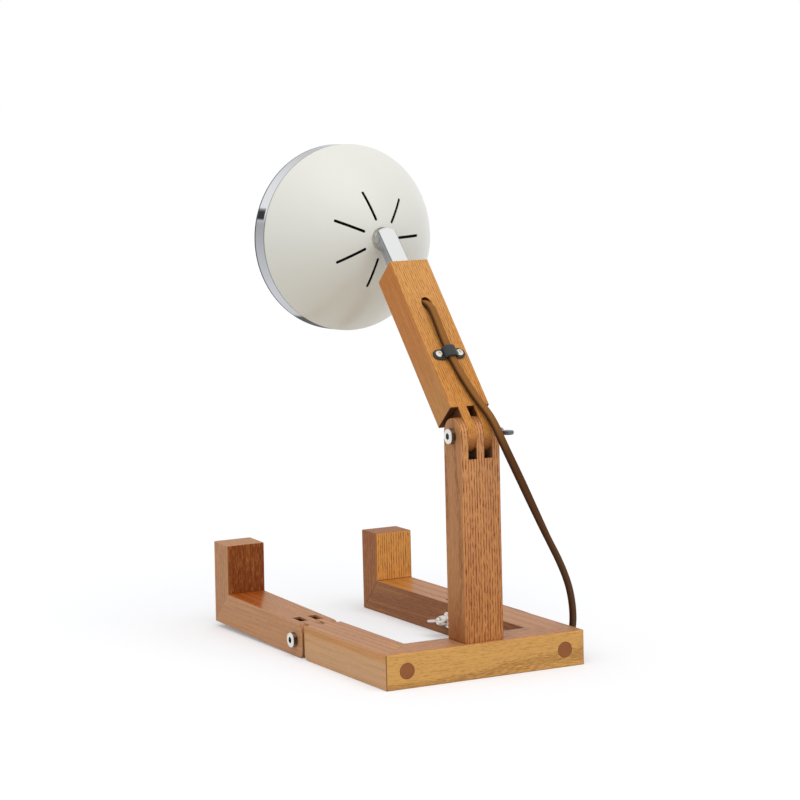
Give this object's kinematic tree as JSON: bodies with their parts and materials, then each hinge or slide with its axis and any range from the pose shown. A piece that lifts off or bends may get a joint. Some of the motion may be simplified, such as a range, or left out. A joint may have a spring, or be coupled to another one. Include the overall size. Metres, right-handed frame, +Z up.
{
  "type": "desk lamp",
  "caption": "Seated robot desk lamp of mitred wooden sticks with hinged knees, a leaning neck arm, an enamelled cone shade with an opal globe, and a textile cord with switch and plug.",
  "frame": {"origin": "on the floor, in the middle of the rear rail's underside, straight below the post and the neck pivot", "axes": "+Z up; -Y is forwards, the way the feet and the shade point; +X is the robot's left, the side of the bolt heads at the neck"},
  "size_m": [0.2145, 0.3234, 0.3836],
  "materials": {
    "timber": "oiled, open grain",
    "dowel": "oiled end grain",
    "zinc_screw": "zinc plated",
    "bolt_steel": "bright, turned",
    "plain_steel": "plain, slightly dull",
    "enamel": "gloss cream enamel",
    "dark_enamel": "matt black enamel",
    "bright_plating": "polished plate",
    "turned_metal": "turned",
    "holder_moulding": "moulded",
    "ceramic": "unglazed ceramic insert",
    "contact_brass": "bright",
    "cap_metal": "rolled",
    "opal_glass": "opal",
    "cord_textile": "braided textile",
    "lead_rubber": "smooth",
    "dark_moulding": "moulded, fine texture",
    "rocker_moulding": "moulded",
    "tie_strap": "woven strap"
  },
  "bodies": {
    "base": {"rear_rail": "timber", "corner_dowels": "dowel", "post": "timber", "post_screws": "zinc_screw", "post_pin": "dowel", "left_side_rail": "timber", "right_side_rail": "timber", "left_knee_bolt": "bolt_steel", "left_knee_washer": "plain_steel", "right_knee_bolt": "bolt_steel", "right_knee_washer": "plain_steel", "neck_bolt": "bolt_steel", "neck_washer": "plain_steel", "cord_drop": "cord_textile", "cord_link": "cord_textile", "cord_hank": "cord_textile", "cord_tail": "cord_textile", "cord_tie": "tie_strap", "switch_base": "dark_moulding", "switch_cover": "dark_moulding", "switch_screw": "zinc_screw", "switch_terminals": "contact_brass", "plug_body": "dark_moulding", "plug_pins": "contact_brass"},
    "arm": {"arm": "timber", "neck_bracket": "plain_steel", "bracket_screws": "zinc_screw", "tilt_pins": "plain_steel", "cord_clip": "dark_moulding", "clip_screws": "zinc_screw", "arm_lead": "lead_rubber", "cord_on_arm": "cord_textile"},
    "head": {"shade": "enamel", "rim_band": "bright_plating", "shade_carrier": "turned_metal", "vent_baffle": "dark_enamel", "nipple": "turned_metal", "lock_nut": "turned_metal", "holder_cap": "holder_moulding", "holder_skirt": "holder_moulding", "holder_core": "ceramic", "holder_thread": "contact_brass", "holder_contact": "contact_brass", "bulb_cap": "cap_metal", "bulb_contact": "contact_brass", "bulb_globe": "opal_glass", "head_lead": "lead_rubber"},
    "left_shin": {"left_shin": "timber", "left_foot": "timber"},
    "right_shin": {"right_shin": "timber", "right_foot": "timber"},
    "neck_wing_nut": {"neck_wing_nut": "plain_steel"},
    "left_knee_wing_nut": {"left_knee_wing_nut": "plain_steel"},
    "right_knee_wing_nut": {"right_knee_wing_nut": "plain_steel"},
    "switch_rocker": {"switch_rocker": "rocker_moulding"}
  },
  "joints": [
    {"name": "neck", "type": "hinge", "parent": "base", "child": "arm", "pos_m": [0, 0, 0.1765], "axis": [1, 0, 0], "range_deg": [-55, 48], "deforming": ["cord_drop"]},
    {"name": "head_tilt", "type": "hinge", "parent": "arm", "child": "head", "pos_m": [0, -0.12407, 0.3124], "axis": [1, 0, 0], "range_deg": [-45, 45]},
    {"name": "left_knee", "type": "hinge", "parent": "base", "child": "left_shin", "pos_m": [0.0667, -0.1335, 0.013], "axis": [1, 0, 0], "range_deg": [-93.4, 96.6]},
    {"name": "right_knee", "type": "hinge", "parent": "base", "child": "right_shin", "pos_m": [-0.0667, -0.1335, 0.013], "axis": [1, 0, 0], "range_deg": [-95, 95]},
    {"name": "neck_nut_turn", "type": "hinge", "parent": "base", "child": "neck_wing_nut", "pos_m": [-0.0173, 0, 0.1765], "axis": [1, 0, 0], "continuous": true},
    {"name": "left_knee_nut_turn", "type": "hinge", "parent": "base", "child": "left_knee_wing_nut", "pos_m": [0.0494, -0.1335, 0.013], "axis": [1, 0, 0], "continuous": true},
    {"name": "right_knee_nut_turn", "type": "hinge", "parent": "base", "child": "right_knee_wing_nut", "pos_m": [-0.0494, -0.1335, 0.013], "axis": [1, 0, 0], "continuous": true},
    {"name": "rocker_press", "type": "hinge", "parent": "base", "child": "switch_rocker", "pos_m": [-0.0962, -0.072, 0.0121], "axis": [1, 0, 0], "range_deg": [0, 16]}
  ]
}
